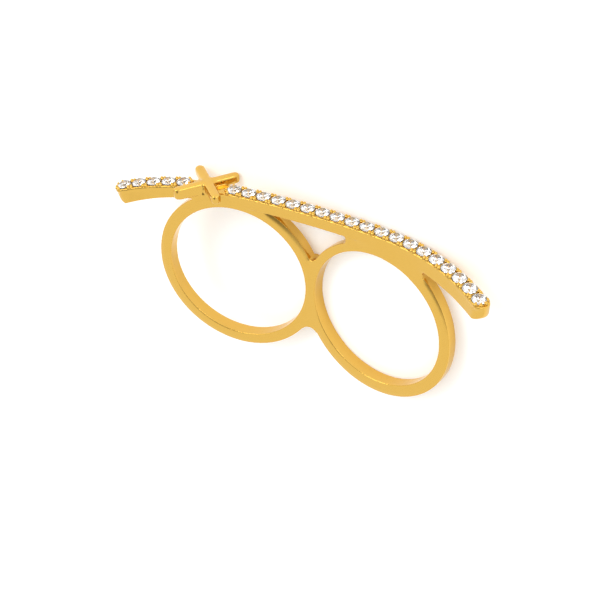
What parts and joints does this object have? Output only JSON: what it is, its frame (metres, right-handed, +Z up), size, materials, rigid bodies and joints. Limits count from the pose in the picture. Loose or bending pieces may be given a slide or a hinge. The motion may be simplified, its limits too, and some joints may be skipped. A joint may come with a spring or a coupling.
{
  "type": "double ring",
  "caption": "Two finger rings joined side by side under one long arched bar set with a row of round stones, with a small raised cross on its left part.",
  "frame": {"origin": "on the surface that the ring lies on, under the middle of its bounding box", "axes": "+X along the bar towards its end without the cross, +Y from the finger holes towards the bar, +Z up from the surface, out of the front of the finger holes"},
  "size_m": [0.0478, 0.021, 0.0067],
  "materials": {
    "gold": "polished yellow gold, cast, with softly rounded edges",
    "stone": "clear colourless round brilliants"
  },
  "bodies": {
    "root": {"ring_body": "gold", "stone_01": "stone", "stone_02": "stone", "stone_03": "stone", "stone_04": "stone", "stone_05": "stone", "stone_06": "stone", "stone_07": "stone", "stone_08": "stone", "stone_09": "stone", "stone_10": "stone", "stone_11": "stone", "stone_12": "stone", "stone_13": "stone", "stone_14": "stone", "stone_15": "stone", "stone_16": "stone", "stone_17": "stone", "stone_18": "stone", "stone_19": "stone", "stone_20": "stone", "stone_21": "stone", "stone_22": "stone", "stone_23": "stone", "stone_24": "stone"}
  },
  "joints": []
}
